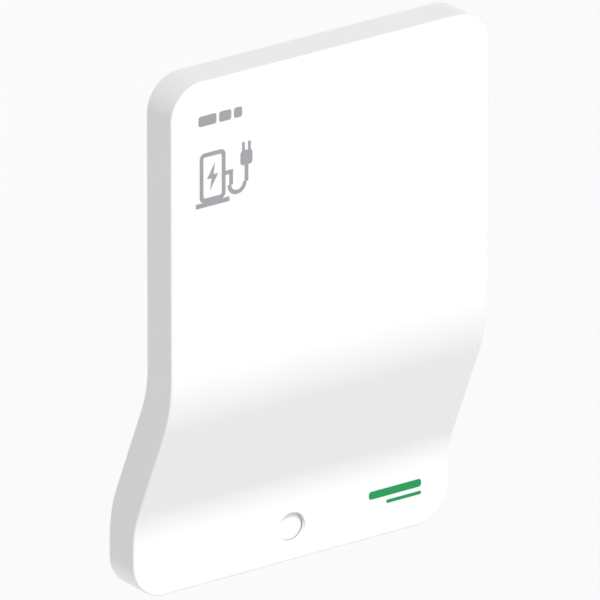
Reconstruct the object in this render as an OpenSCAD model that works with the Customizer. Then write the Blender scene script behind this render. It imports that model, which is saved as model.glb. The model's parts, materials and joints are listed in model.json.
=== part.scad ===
// Wall-mounted vehicle charger with a wave-shaped front cover.
// X runs to the right, -Y out of the wall, Z up. The origin lies on the wall, level with the cover's middle.

/* [Front cover] */
// Width of the cover
cover_w = 325; // [300:5:400]
// Height of the cover
cover_h = 480; // [470:10:600]
// Radius of the cover's four corners
cover_corner_r = 32; // [16:1:40]
// Wall thickness of the cover
cover_wall = 3; // [2:0.5:4]
// Depth of the rim behind the front
rim_depth = 35; // [25:1:40]
// Height of the stiffening ribs inside the cover
rib_h = 2.5; // [1:0.5:3]

/* [Wave of the front] */
// Distance from the wall to the upper front
depth = 126; // [120:1:160]
// How far the lower front lies behind the upper front
setback = 56; // [50:1:60]
// Height at which the front starts to bend, from the cover's middle
wave_start = -18; // [-24:1:-6]
// Slope of the wave from vertical, in degrees
wave_angle = 23.8; // [20:0.2:26]
// Radius of the upper bend
wave_top_r = 138; // [110:1:160]
// Radius of the lower bend
wave_bottom_r = 86; // [70:1:100]

/* [Housing] */
// Width of the housing behind the cover
body_w = 192; // [190:1:210]
// From the cover's top edge down to the housing
top_gap = 50; // [46:1:56]
// From the cover's bottom edge up to the housing
bottom_gap = 12; // [12:1:16]
// Corner radius of the housing
body_corner_r = 14; // [10:1:18]
// Wall thickness of the housing and its inner cover
body_wall = 3; // [2.5:0.5:3.5]
// Clear space between the front cover and the inner cover
cover_gap = 6; // [5.5:0.5:8]
// Depth of the joint between housing and inner cover, behind the front
joint_depth = 28; // [24:1:32]
// Thickness of the housing seal
seal_t = 2; // [1:0.5:3]

/* [Wall plate] */
// Width of the steel wall plate
plate_w = 150; // [130:5:170]
// Height of the steel wall plate
plate_h = 360; // [320:10:380]
// Thickness of the steel wall plate
plate_t = 3; // [2:0.5:4]
// Distance between the wall screw holes across
wall_hole_x = 110; // [90:5:120]
// Distance between the wall screw holes in height
wall_hole_z = 320; // [260:10:330]
// Radius of a wall screw hole
wall_hole_r = 3.3; // [2.5:0.1:4.2]

/* [Cover hinge] */
// Radius of the hinge pins
hinge_pin_r = 2.5; // [2:0.1:3]
// Distance of the two hinges from the middle
hinge_x = 70; // [50:1:80]
// Distance of the hinge axis behind the cover's rim
hinge_back = 6; // [5:0.5:8]
// Distance of the hinge axis below the cover's top edge
hinge_down = 9; // [8:0.5:10]

/* [Start and stop button] */
// Radius of the opening in the front cover
button_hole_r = 13.5; // [11:0.5:15]
// Height of the button above the cover's bottom edge
button_up = 30; // [28:1:36]
// Travel of the button
button_travel = 2.5; // [1.5:0.1:3]

/* [Vehicle socket] */
// Radius of the socket's recess
socket_r = 31; // [29:0.5:32]
// Radius of the contact carrier in the recess
core_r = 25; // [23:0.5:26]
// Depth of the recess
socket_depth = 46; // [40:1:48]
// Side of the square flange
flange_w = 76; // [72:1:78]
// Travel of the plug's lock pin
lock_travel = 5; // [3:0.5:6]

/* [Rail devices] */
// Height of a rail device
device_h = 86; // [80:1:90]
// Width of one module on the rail
module_w = 17.8; // [17:0.1:18]

/* [Cable entry] */
// Radius of the gland's thread
gland_r = 10; // [8:0.5:10.5]
// Radius of the supply cable's hole in the gland seal
cable_r = 5.5; // [4:0.5:6]

/* [Hidden] */
$fn = 64;
clear = 0.3;
run_fit = 0.05;
seat_fit = 0.02;
arc_steps = 12;

cover_top = cover_h / 2;
cover_bottom = -cover_h / 2;
body_top = cover_top - top_gap;
body_bottom = cover_bottom + bottom_gap;
body_mid = (body_top + body_bottom) / 2;
body_h = body_top - body_bottom;

inner_front = cover_wall + cover_gap;
inner_back = inner_front + body_wall;
seal_back = joint_depth + seal_t;
back_wall = plate_t + body_wall;

// Lower bend: where the slope ends and the centre of the bend lies
slope_len = (setback - (wave_top_r + wave_bottom_r) * (1 - cos(wave_angle))) / sin(wave_angle);
slope_end_d = depth - wave_top_r * (1 - cos(wave_angle)) - slope_len * sin(wave_angle);
slope_end_z = wave_start - wave_top_r * sin(wave_angle) - slope_len * cos(wave_angle);
low_centre_d = slope_end_d + wave_bottom_r * cos(wave_angle);
low_centre_z = slope_end_z - wave_bottom_r * sin(wave_angle);
low_front = depth - setback;

hinge_d = depth - rim_depth - hinge_back;
hinge_z = cover_top - hinge_down;
lug_t = 6;
eye_r = 5;

boss_x = body_w / 2 - 10;
boss_r = 6;
case_screw_r = 2;
case_bosses = [
  for (side = [-1, 1])
    for (spot = [[body_top - 10, depth], [wave_start - 4, depth], [body_bottom + 10, low_front]])
      [side * boss_x, spot[0], spot[1]]
];

button_z = cover_bottom + button_up;
button_face = low_front - cover_wall - clear;
cap_r = button_hole_r - 0.6;
collar_in_r = cap_r + 0.2;
collar_out_r = collar_in_r + 1.3;
collar_front = low_front - inner_front + 3.2;
collar_back = low_front - inner_front - 17;
cage_t = 2;
plunger_end = collar_back + cage_t + 0.4;
cap_floor = 2.6;
stem_r = 2.5;
button_spring_r = 7;
button_wire_r = 0.5;

rail_z = body_top - 72;
rail_front = depth - inner_front - 3 - 60;
rail_h = 35;
rail_t = 1.2;
nose_h = 45;
nose_front = rail_front + 60;
shoulder = rail_front + 44;
device_x = -body_w / 2 + 12;
breaker_w = 2 * module_w;
contactor_x = device_x + breaker_w + 1;
contactor_w = 2 * module_w;
meter_x = contactor_x + contactor_w + 1;
meter_w = 2 * module_w;
window_gap = 1.2;
lever_x = device_x + breaker_w / 2;
lever_d = nose_front - 4;
lever_hub_r = 4.6;
lever_w = breaker_w - 11.6;
lever_tip = 10.2;
lever_up = 42;
lever_t = 3.4;
lever_slot = (nose_front - lever_d) * tan(lever_up) + lever_t / 2 / cos(lever_up) + 0.6;
test_x = lever_x;
test_z = rail_z - 16;
test_r = 2.5;

side_face = body_w / 2;
socket_z = rail_z - 80;
socket_d = plate_t + flange_w / 2 + 7;
socket_seal_t = 1.5;
flange_t = 4;
flange_face = side_face + socket_seal_t + flange_t;
recess_floor = flange_face - socket_depth;
sleeve_wall = 2;
floor_t = 3;
sleeve_back = recess_floor - floor_t;
core_front = flange_face - 3;
contact_r = 3;
pilot_r = 1.5;
tube_wall = 0.9;
contact_spots = [[0, 0], [-13.5, -1], [13.5, -1], [-7.5, -13.5], [7.5, -13.5]];
pilot_spots = [[-7.5, 10.5], [7.5, 10.5]];
flange_screw = flange_w / 2 - 6.5;

lid_t = 3;
lid_gap = 1.2;
lid_in = flange_face + lid_gap;
lid_axis_x = flange_face + 4.6;
lid_axis_z = socket_z + flange_w / 2 + 5;
lid_pin_r = 2;
ear_t = 5;
ear_gap = clear;
knuckle_r = 4.2;
spring_span = 18;

actuator_z = socket_z + socket_r + sleeve_wall + 1;
actuator_x = 68;
lock_pin_r = 3;
lock_tip = socket_z + socket_r + 0.8;
lock_len = lock_travel + 11;

board_d = back_wall + 14;
board_t = 1.6;
board_x = [-body_w / 2 + 18, 22];
board_z = [wave_start - 58, rail_z - device_h / 2 - 20];
relay_x = board_x[0] + 14;

gland_x = -45;
gland_d = plate_t + 16.5;
gland_hex = 12;
locknut_t = 5;
vent_x = 0;
vent_r = 6;
blank_x = 45;

steel = "#b9bcc0";
white_plastic = "#fdfdfd";
light_grey = "#d9dbde";
dark_grey = "#3c3f44";
mark_grey = "#a5a7aa";
mark_green = "#199e58";
brass = "#c9a24a";
copper = "#b87333";

// ---------- helpers ----------

// Box between two x, two distances from the wall and two heights
module block(x, d, z) {
  translate([x[0], -d[1], z[0]]) cube([x[1] - x[0], d[1] - d[0], z[1] - z[0]]);
}

// Round rod that runs out from the wall
module rod_out(x, z, d, r) {
  translate([x, -d[0], z]) rotate([90, 0, 0]) cylinder(h = d[1] - d[0], r = r);
}

// Round rod that runs along X
module rod_across(d, z, x, r) {
  translate([x[0], -d, z]) rotate([0, 90, 0]) cylinder(h = x[1] - x[0], r = r);
}

// Upright round rod
module rod_up(x, d, z, r) {
  translate([x, -d, z[0]]) cylinder(h = z[1] - z[0], r = r);
}

// Extrudes an outline drawn as [x, z] between two distances from the wall
module face_on(d) {
  translate([0, -d[0], 0]) rotate([90, 0, 0]) linear_extrude(d[1] - d[0]) children();
}

// Extrudes an outline drawn as [distance from the wall, z] between two x
module side_on(x) {
  translate([x[1], 0, 0]) rotate([90, 0, -90]) linear_extrude(x[1] - x[0]) children();
}

module rounded(w, h, r) {
  square([w - 2 * r, h], center = true);
  square([w, h - 2 * r], center = true);
  for (sx = [-1, 1])
    for (sz = [-1, 1])
      translate([sx * (w / 2 - r), sz * (h / 2 - r)]) circle(r);
}

// Points of the front, moved back by t along its own normal, from top to bottom
function wave(t, top, bottom) = concat(
  [[depth - t, top]],
  [for (i = [0 : arc_steps])
    let (a = wave_angle * i / arc_steps)
      [depth - wave_top_r + (wave_top_r - t) * cos(a), wave_start - (wave_top_r - t) * sin(a)]],
  [for (i = [arc_steps : -1 : 0])
    let (a = wave_angle * i / arc_steps)
      [low_centre_d - (wave_bottom_r + t) * cos(a), low_centre_z + (wave_bottom_r + t) * sin(a)]],
  [[low_front - t, bottom]]
);

function back_to_front(points) = [for (i = [len(points) - 1 : -1 : 0]) points[i]];

// The layer between two depths behind the front
module layer(t0, t1) {
  polygon(concat(wave(t0, cover_h, -cover_h), back_to_front(wave(t1, cover_h, -cover_h))));
}

// Everything from a depth behind the front back to a distance from the wall
module behind(t, back) {
  polygon(concat(wave(t, cover_h, -cover_h), [[back, -cover_h], [back, cover_h]]));
}

// Tube swept along a list of points: rings of sides points, each square to the route
function unit(v) = v / norm(v);
function heading(p, i) =
  unit(p[min(i + 1, len(p) - 1)] - p[max(i - 1, 0)]);
function side_of(t, up) = unit(cross(t, up));
function ring(p, i, r, sides, up) =
  let (t = heading(p, i), s = side_of(t, up), n = cross(s, t))
    [for (k = [0 : sides - 1]) p[i] + r * (cos(360 * k / sides) * s + sin(360 * k / sides) * n)];
module sweep(p, r, sides = 8, up = [0.13, 0.21, 0.97]) {
  last = len(p) - 1;
  rings = [for (i = [0 : last]) each ring(p, i, r, sides, up)];
  walls = [for (i = [0 : last - 1])
    for (k = [0 : sides - 1])
      each [
        [i * sides + k, (i + 1) * sides + k, i * sides + (k + 1) % sides],
        [i * sides + (k + 1) % sides, (i + 1) * sides + k, (i + 1) * sides + (k + 1) % sides]
      ]];
  ends = [
    [for (k = [0 : sides - 1]) k],
    [for (k = [sides - 1 : -1 : 0]) last * sides + k]
  ];
  polyhedron(points = rings, faces = concat(walls, ends), convexity = 10);
}

// Coil spring about +Z, from z = 0 to z = h
module coil(r, wire, h, turns, steps = 14) {
  sweep([for (i = [0 : turns * steps])
    [r * cos(360 * i / steps), r * sin(360 * i / steps), wire + (h - 2 * wire) * i / (turns * steps)]],
    wire, 6, [0, 0, 1]);
}

module hexagon(across) {
  circle(r = across / 2 / cos(30), $fn = 6);
}

// ---------- front cover ----------

// One moulding, in five nodes that meet face to face: plate, sides, ends, ribs and lugs
module front_cover() {
  color(white_plastic)
    difference() {
      intersection() {
        side_on([-cover_w / 2, cover_w / 2]) layer(0, cover_wall);
        face_on([0, depth + 1]) rounded(cover_w, cover_h, cover_corner_r);
      }
      rod_out(0, button_z, [low_front - cover_wall - 1, low_front + 1], button_hole_r - 1);
      rod_out(0, button_z, [low_front - cover_wall / 2, low_front + 1], button_hole_r);
    }
}

rim_z = cover_h / 2 - cover_corner_r;

// The straight strips of the rim at the left and the right
module cover_sides() {
  color(white_plastic)
    for (part = [-1, 1])
      rim_part([cover_w / 2 - cover_wall, cover_w / 2] * part, [-rim_z, rim_z]);
}

// The top and the bottom of the rim, each with its two corners
module cover_ends() {
  color(white_plastic)
    difference() {
      for (part = [-1, 1])
        rim_part([-cover_w / 2, cover_w / 2], [rim_z, cover_h / 2] * part);
      rod_up(0, cover_screw_d, [cover_bottom - 1, cover_bottom + cover_wall + 1], cover_screw_r + clear);
    }
}

// The rim inside a rectangle of the front view
module rim_part(x, z) {
  intersection() {
    side_on([-cover_w / 2, cover_w / 2]) layer(cover_wall, rim_depth);
    face_on([0, depth])
      intersection() {
        difference() {
          rounded(cover_w, cover_h, cover_corner_r);
          rounded(cover_w - 2 * cover_wall, cover_h - 2 * cover_wall, cover_corner_r - cover_wall);
        }
        translate([min(x), min(z)]) square([max(x) - min(x), max(z) - min(z)]);
      }
  }
}

module cover_ribs() {
  rib_w = 2;
  color(white_plastic)
    for (x = [-0.42, -0.34, 0.34, 0.42] * cover_w)
      intersection() {
        side_on([x - rib_w / 2, x + rib_w / 2]) layer(cover_wall, cover_wall + rib_h);
        face_on([0, depth]) rounded(cover_w - 2 * cover_wall, cover_h - 2 * cover_corner_r, 2);
      }
}

module cover_lugs() {
  color(white_plastic)
    for (side = [-1, 1])
      for (place = [-1, 1]) {
        mid = side * hinge_x + place * (lug_t + clear);
        difference() {
          union() {
            block([mid - lug_t / 2, mid + lug_t / 2], [hinge_d, depth - cover_wall],
              [hinge_z - eye_r, cover_top - cover_wall]);
            rod_across(hinge_d, hinge_z, [mid - lug_t / 2, mid + lug_t / 2], eye_r);
          }
          rod_across(hinge_d, hinge_z, [mid - lug_t, mid + lug_t], hinge_pin_r + run_fit);
        }
      }
}

// ---------- marks on the cover ----------

mark_t = 0.25;
icon_x = -108.5;
icon_z = 152;
icon_line = 3.6;
post_w = 26;
post_h = 44;

// A charging post with a flash on it and a lead that hangs beside it
module cover_icon() {
  color(mark_grey)
    face_on([depth, depth + mark_t])
      translate([icon_x, icon_z]) icon_outline();
}

module icon_outline() {
  post_x = -12;
  difference() {
    translate([post_x, 2]) rounded(post_w, post_h, 5);
    translate([post_x, 2]) rounded(post_w - 2 * icon_line, post_h - 2 * icon_line, 2);
  }
  translate([post_x, -22]) square([post_w + 8, icon_line + 0.4], center = true);
  translate([post_x, 2])
    polygon([[2.5, 12], [-5.5, -1.5], [-0.8, -1.5], [-2.5, -12], [5.5, 1.5], [0.8, 1.5]]);
  lead_outline();
}

module lead_outline() {
  bend = 6;
  post_side = -12 + post_w / 2;
  low = -10;
  // out of the post, down into a loop and up to the plug
  translate([post_side - 0.5, 0]) square([5, icon_line]);
  translate([post_side + 4, low]) square([icon_line, icon_line - low]);
  translate([post_side + 4 + bend + icon_line / 2, low]) difference() {
    circle(bend + icon_line / 2 + icon_line / 2);
    circle(bend);
    translate([-20, 0]) square([40, 20]);
  }
  translate([post_side + 4 + 2 * bend + icon_line, low - 0.2]) square([icon_line, 16]);
  // plug with two blades
  translate([post_side + 4 + 2 * bend + 1.5 * icon_line, 11]) {
    rounded(12, 13, 3);
    for (sx = [-1, 1])
      translate([sx * 3, 9.5]) square([2.6, 9], center = true);
  }
}

label_x = -112.6;
label_z = 205;

// Three plain bars of falling length
module cover_label_bars() {
  color(mark_grey)
    face_on([depth, depth + mark_t])
      translate([label_x - 22, label_z]) {
        translate([9, 0]) rounded(18, 9, 2);
        translate([27, 0]) rounded(12, 9, 2);
        translate([40, 0]) rounded(8, 9, 2);
      }
}

badge_x = 106.5;
badge_z = -204;

// A long bar over a short one
module corner_badge() {
  color(mark_green)
    face_on([low_front, low_front + mark_t])
      translate([badge_x, badge_z]) {
        translate([0, 3]) rounded(54, 7, 2.5);
        translate([9, -6]) rounded(36, 3, 1.4);
      }
}

// ---------- cover hinge ----------

module hinge_pins() {
  reach = 1.5 * lug_t + 2 * clear;
  for (side = [-1, 1])
    color(steel) {
      near = side * hinge_x - reach - 1;
      far = side * hinge_x + reach + 1;
      rod_across(hinge_d, hinge_z, [near, far], hinge_pin_r);
      rod_across(hinge_d, hinge_z, side > 0 ? [far - 1 + 0.1, far + 1] : [near - 1, near + 1 - 0.1],
        hinge_pin_r + 1.5);
    }
}

module hinge_brackets() {
  foot_t = 4;
  foot_d = [hinge_d - 22, hinge_d + 12];
  stem_w = 7;
  color(steel)
    for (side = [-1, 1]) {
      x0 = side * hinge_x;
      difference() {
        union() {
          block([x0 - 11, x0 + 11], foot_d, [body_top, body_top + foot_t]);
          side_on([x0 - lug_t / 2, x0 + lug_t / 2])
            polygon([
              [foot_d[0] + 4, body_top + foot_t - 1],
              [foot_d[1] - 2, body_top + foot_t - 1],
              [hinge_d + stem_w / 2, hinge_z - 14],
              [hinge_d + stem_w / 2, hinge_z],
              [hinge_d - stem_w / 2, hinge_z],
              [hinge_d - stem_w / 2, hinge_z - 14]
            ]);
          rod_across(hinge_d, hinge_z, [x0 - lug_t / 2, x0 + lug_t / 2], eye_r);
        }
        rod_across(hinge_d, hinge_z, [x0 - lug_t, x0 + lug_t], hinge_pin_r + seat_fit);
      }
    }
}

// ---------- cover lock ----------

cover_screw_r = 2.5;
cover_screw_x = 0;
cover_screw_d = low_front - inner_front - 8;
tab_t = 2.5;
tab_z = cover_bottom + cover_wall + clear;
nut_gap = 1.6;
nut_t = body_bottom - tab_z - tab_t - nut_gap - 0.7;

module cover_screw() {
  color(steel) {
    difference() {
      rod_up(cover_screw_x, cover_screw_d, [cover_bottom - 2.6, cover_bottom], 4.5);
      translate([cover_screw_x, -cover_screw_d, cover_bottom - 3])
        linear_extrude(2) hexagon(3);
    }
    rod_up(cover_screw_x, cover_screw_d, [cover_bottom, tab_z + tab_t + nut_gap + nut_t + 0.2],
      cover_screw_r);
  }
}

module cover_nut() {
  z0 = tab_z + tab_t + nut_gap;
  color(brass)
    difference() {
      translate([cover_screw_x, -cover_screw_d, z0]) linear_extrude(nut_t) hexagon(9);
      rod_up(cover_screw_x, cover_screw_d, [z0 - 1, z0 + nut_t + 1], cover_screw_r + seat_fit);
    }
}

// Bent steel tab under the housing; its slot is open to the front
module latch_tab() {
  half_w = 12;
  tab_front = cover_screw_d + 7;
  tab_back = cover_screw_d - 14;
  color(steel)
    difference() {
      union() {
        block([-half_w, half_w], [tab_back, tab_front], [tab_z, tab_z + tab_t]);
        block([-half_w, half_w], [tab_back, tab_back + tab_t], [tab_z, body_bottom]);
        block([-half_w, half_w], [tab_back - 8, tab_back + tab_t], [body_bottom - tab_t, body_bottom]);
      }
      block([-3.2, 3.2], [cover_screw_d, tab_front + 1], [tab_z - 1, tab_z + tab_t + 1]);
      rod_up(0, cover_screw_d, [tab_z - 1, tab_z + tab_t + 1], 3.2);
    }
}

// ---------- housing ----------

module body_outline(inset = 0) {
  translate([0, body_mid]) rounded(body_w - 2 * inset, body_h - 2 * inset, body_corner_r - inset);
}

module rear_housing() {
  color(light_grey)
    difference() {
      union() {
        difference() {
          intersection() {
            side_on([-body_w / 2, body_w / 2]) behind(seal_back, plate_t);
            face_on([0, depth]) body_outline();
          }
          face_on([back_wall, depth + 1]) body_outline(body_wall);
        }
        intersection() {
          side_on([-body_w / 2, body_w / 2]) behind(seal_back, plate_t);
          for (b = case_bosses)
            rod_out(b[0], b[1], [back_wall - 1, depth], boss_r);
        }
      }
      for (b = case_bosses)
        rod_out(b[0], b[1], [back_wall + 4, depth], case_screw_r + seat_fit);
      for (p = plate_screws)
        rod_out(p[0], p[1], [plate_t - 1, back_wall + 1], plate_screw_r + 0.3);
      rod_across(socket_d, socket_z, [side_face - body_wall - 1, side_face + 1],
        socket_r + sleeve_wall + clear);
      rod_up(gland_x, gland_d, [body_bottom - 1, body_bottom + body_wall + 1], gland_r + clear);
      rod_up(blank_x, gland_d, [body_bottom - 1, body_bottom + body_wall + 1], gland_r + clear);
      rod_up(vent_x, vent_d, [body_bottom - 1, body_bottom + body_wall + 1], vent_r + clear);
    }
}

module joint_ring(t0, t1, width) {
  difference() {
    intersection() {
      side_on([-body_w / 2, body_w / 2]) layer(t0, t1);
      face_on([0, depth]) body_outline();
    }
    face_on([0, depth + 1]) body_outline(width);
  }
}

module housing_seal() {
  color("#26282b") joint_ring(joint_depth, seal_back, body_wall - 0.4);
}

module inner_cover() {
  window_x = [device_x - window_gap, meter_x + meter_w + window_gap];
  color("#e8e9eb")
    difference() {
      union() {
        difference() {
          intersection() {
            side_on([-body_w / 2, body_w / 2]) layer(inner_front, joint_depth);
            face_on([0, depth + 1]) body_outline();
          }
          intersection() {
            side_on([-body_w / 2, body_w / 2]) behind(inner_back, -1);
            face_on([-1, depth + 1]) body_outline(body_wall);
          }
        }
        for (b = case_bosses)
          intersection() {
            side_on([-body_w / 2, body_w / 2]) layer(inner_front + 1, joint_depth);
            rod_out(b[0], b[1], [0, depth], boss_r);
          }
      }
      for (b = case_bosses) {
        rod_out(b[0], b[1], [0, depth + 1], case_screw_r + 0.3);
        rod_out(b[0], b[1], [b[2] - inner_front - head_down, depth + 1], case_head_r + clear);
      }
      block(window_x, [nose_front - 5, depth],
        [rail_z - nose_h / 2 - window_gap, rail_z + nose_h / 2 + window_gap]);
      rod_out(0, button_z, [collar_back, low_front], collar_out_r + 0.15);
    }
}

head_down = 5;
case_head_r = 3.6;
module inner_cover_screws() {
  color(steel)
    for (b = case_bosses) {
      seat = b[2] - inner_front - head_down;
      difference() {
        rod_out(b[0], b[1], [seat, seat + 2.6], case_head_r);
        translate([b[0], -seat - 1.2, b[1]]) rotate([90, 0, 0]) linear_extrude(2) {
          square([4, 1], center = true);
          square([1, 4], center = true);
        }
      }
      rod_out(b[0], b[1], [b[2] - seal_back - 14, seat], case_screw_r);
    }
}

// ---------- wall plate ----------

plate_screw_r = 2.5;
plate_screw_x = 34;
plate_screw_z = 118;
plate_screws = [
  for (sx = [-1, 1])
    for (sz = [-1, 1])
      [sx * plate_screw_x, body_mid + sz * plate_screw_z]
];

module wall_plate() {
  color(steel)
    difference() {
      face_on([0, plate_t]) translate([0, body_mid]) rounded(plate_w, plate_h, 8);
      for (sx = [-1, 1])
        for (sz = [-1, 1])
          rod_out(sx * wall_hole_x / 2, body_mid + sz * wall_hole_z / 2, [-1, plate_t + 1], wall_hole_r);
      for (p = plate_screws)
        rod_out(p[0], p[1], [-1, plate_t + 1], plate_screw_r + seat_fit);
    }
}

module housing_screws() {
  color(steel)
    for (p = plate_screws) {
      rod_out(p[0], p[1], [0.4, back_wall], plate_screw_r);
      difference() {
        rod_out(p[0], p[1], [back_wall, back_wall + 3], 4.6);
        translate([p[0], -back_wall - 1, p[1]]) rotate([90, 0, 0]) linear_extrude(3) hexagon(4);
      }
    }
}

// ---------- button ----------

module button_cap() {
  back = collar_back + cage_t + button_travel + 3.5;
  color(white_plastic) {
    difference() {
      rod_out(0, button_z, [back, button_face], cap_r);
      rod_out(0, button_z, [back - 1, button_face - cap_floor], cap_r - 1.6);
    }
    rod_out(0, button_z, [plunger_end + button_travel + clear, button_face - 1], stem_r);
  }
}

module button_collar() {
  seat = low_front - inner_front;
  color(light_grey)
    difference() {
      union() {
        rod_out(0, button_z, [collar_back, collar_front], collar_out_r);
        rod_out(0, button_z, [seat, collar_front], collar_out_r + 2);
      }
      rod_out(0, button_z, [collar_back + cage_t, collar_front + 1], collar_in_r);
      rod_out(0, button_z, [collar_back - 1, collar_back + cage_t + 1], stem_r + 1);
    }
}

// Open spring clip that grips the collar from above, behind the inner cover
module collar_clip() {
  seat = low_front - inner_back;
  clip_t = 2;
  color(steel)
    difference() {
      rod_out(0, button_z, [seat - clip_t, seat], collar_out_r + 5);
      rod_out(0, button_z, [seat - clip_t - 1, seat + 1], collar_out_r + seat_fit);
      block([-collar_out_r - 6, collar_out_r + 6], [seat - clip_t - 1, seat + 1],
        [button_z - collar_out_r - 6, button_z - collar_out_r / 2]);
    }
}

module button_spring() {
  from = collar_back + cage_t;
  to = button_face - cap_floor;
  color(steel)
    translate([0, -from - clear / 2, button_z]) rotate([90, 0, 0])
      coil(button_spring_r, button_wire_r, to - from - clear, 6);
}

module button_switch() {
  color(dark_grey) {
    block([-9, 9], [collar_back - 12, collar_back], [button_z - 6, button_z + 6]);
    rod_out(0, button_z, [collar_back - 1, plunger_end], stem_r);
  }
  color(copper)
    for (x = [-6, 0, 6])
      block([x - 1, x + 1], [collar_back - 17, collar_back - 12 + 0.2], [button_z - 0.4, button_z + 0.4]);
}

// ---------- rail and its devices ----------

module din_rail() {
  web_d = rail_front - 7.5;
  rail_x = [device_x - 4, meter_x + meter_w + 6];
  color(steel)
    side_on(rail_x)
      translate([0, rail_z]) {
        translate([web_d, -12.5]) square([rail_t, 25]);
        for (s = [-1, 1]) {
          translate([web_d, s > 0 ? 12.5 - rail_t : -12.5]) square([7.5, rail_t]);
          translate([rail_front - rail_t, s > 0 ? 12.5 - rail_t : -rail_h / 2]) square([rail_t, 5 + rail_t]);
        }
      }
}

module rail_posts() {
  color(dark_grey)
    for (x = [device_x + 6, meter_x + meter_w - 4])
      rod_out(x, rail_z, [back_wall, rail_front - 7.5], 7);
}

// Stepped body of a rail device: wide foot, shoulder and nose, with the rail's slot behind
module rail_device(x, w) {
  difference() {
    side_on([x, x + w])
      translate([0, rail_z])
        polygon([
          [rail_front - 3, -device_h / 2 + 8],
          [rail_front + 3, -device_h / 2],
          [shoulder, -device_h / 2],
          [shoulder, -nose_h / 2],
          [nose_front, -nose_h / 2],
          [nose_front, nose_h / 2],
          [shoulder, nose_h / 2],
          [shoulder, device_h / 2],
          [rail_front + 3, device_h / 2],
          [rail_front - 3, device_h / 2 - 8]
        ]);
    block([x - 1, x + w + 1], [rail_front - 4, rail_front + clear],
      [rail_z - rail_h / 2 - clear, rail_z + rail_h / 2 + clear]);
    for (s = [-1, 1])
      for (k = [-1, 1])
        rod_out(x + w / 2 + k * w / 4, rail_z + s * (nose_h / 2 + 10), [shoulder - 8, shoulder + 1], 2.8);
  }
}

module breaker_body() {
  color("#f1f1ef")
    difference() {
      rail_device(device_x, breaker_w);
      rod_across(lever_d, rail_z, [lever_x - lever_w / 2 - clear, lever_x + lever_w / 2 + clear],
        lever_hub_r + clear);
      block([lever_x - lever_w / 2 - clear, lever_x + lever_w / 2 + clear], [lever_d, nose_front + 1],
        [rail_z - lever_slot, rail_z + lever_slot]);
      rod_across(lever_d, rail_z, [device_x + 2.8, device_x + breaker_w - 2.8], 1.6);
      rod_out(test_x, test_z, [nose_front - 8, nose_front + 1], test_r + 0.1);
    }
}

module breaker_lever() {
  color("#2a63b8") {
    rod_across(lever_d, rail_z, [lever_x - lever_w / 2, lever_x + lever_w / 2], lever_hub_r);
    rod_across(lever_d, rail_z, [lever_x - lever_w / 2 - 2.5, lever_x + lever_w / 2 + 2.5], 1.55);
    translate([0, -lever_d, rail_z]) rotate([-lever_up, 0, 0])
      block([lever_x - lever_w / 2, lever_x + lever_w / 2], [0, lever_tip], [-lever_t / 2, lever_t / 2]);
  }
}

module breaker_test_button() {
  color("#e0a52a") rod_out(test_x, test_z, [nose_front - 6.5, nose_front + 1.5], test_r);
}

module contactor() {
  color("#f1f1ef")
    difference() {
      rail_device(contactor_x, contactor_w);
      block([contactor_x + 6, contactor_x + contactor_w - 6], [nose_front - 0.6, nose_front + 1],
        [rail_z - 6, rail_z + 12]);
    }
}

module energy_meter() {
  color("#f1f1ef")
    difference() {
      rail_device(meter_x, meter_w);
      block([meter_x + 4, meter_x + meter_w - 4], [nose_front - 2, nose_front + 1],
        [rail_z - 2, rail_z + 14]);
    }
}

module meter_window() {
  color("#5a6b5e")
    block([meter_x + 4.2, meter_x + meter_w - 4.2], [nose_front - 2, nose_front - 0.4],
      [rail_z - 1.8, rail_z + 13.8]);
}

// ---------- electronics ----------

module control_board() {
  color("#1f6b3a")
    difference() {
      block(board_x, [board_d, board_d + board_t], board_z);
      for (x = [board_x[0] + 5, board_x[1] - 5])
        for (z = [board_z[0] + 5, board_z[1] - 5])
          rod_out(x, z, [board_d - 1, board_d + board_t + 1], 1.6);
    }
}

module board_posts() {
  for (x = [board_x[0] + 5, board_x[1] - 5])
    for (z = [board_z[0] + 5, board_z[1] - 5]) {
      color(light_grey) rod_out(x, z, [back_wall, board_d], 3.5);
      color(steel) rod_out(x, z, [board_d - 5, board_d + board_t], 1.5);
      color(steel) rod_out(x, z, [board_d + board_t, board_d + board_t + 2], 2.8);
    }
}

module board_components() {
  face = board_d + board_t;
  mid_x = (board_x[0] + board_x[1]) / 2;
  mid_z = (board_z[0] + board_z[1]) / 2;
  color("#20242a")
    for (k = [0 : 2])
      block([relay_x + 24 * k, relay_x + 24 * k + 16], [face, face + 20], [mid_z + 22, mid_z + 50]);
  color("#101214") block([mid_x - 9, mid_x + 9], [face, face + 1.4], [mid_z - 14, mid_z + 4]);
  color("#3b4a8c")
    for (k = [0 : 2])
      rod_out(board_x[0] + 16 + 12 * k, mid_z - 38, [face, face + 16], 5);
  color("#2f8f4f")
    for (k = [0 : 1])
      block([board_x[1] - 30, board_x[1] - 12], [face, face + 12],
        [mid_z - 44 + 26 * k, mid_z - 24 + 26 * k]);
  color("#e8e4d8") block([board_x[0] + 10, board_x[0] + 34], [face, face + 18], [mid_z - 20, mid_z + 8]);
}

supply_z = [body_bottom + 72, body_bottom + 120];
module power_supply() {
  px = [-body_w / 2 + 8, -body_w / 2 + 43];
  color(dark_grey)
    difference() {
      union() {
        block(px, [back_wall, back_wall + 30], supply_z);
        block([px[0] + 8, px[1] - 8], [back_wall, back_wall + 3], [supply_z[0] - 9, supply_z[1] + 9]);
      }
      for (z = [supply_z[0] - 5, supply_z[1] + 5])
        rod_out((px[0] + px[1]) / 2, z, [back_wall - 1, back_wall + 4], 2.2);
    }
}

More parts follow.
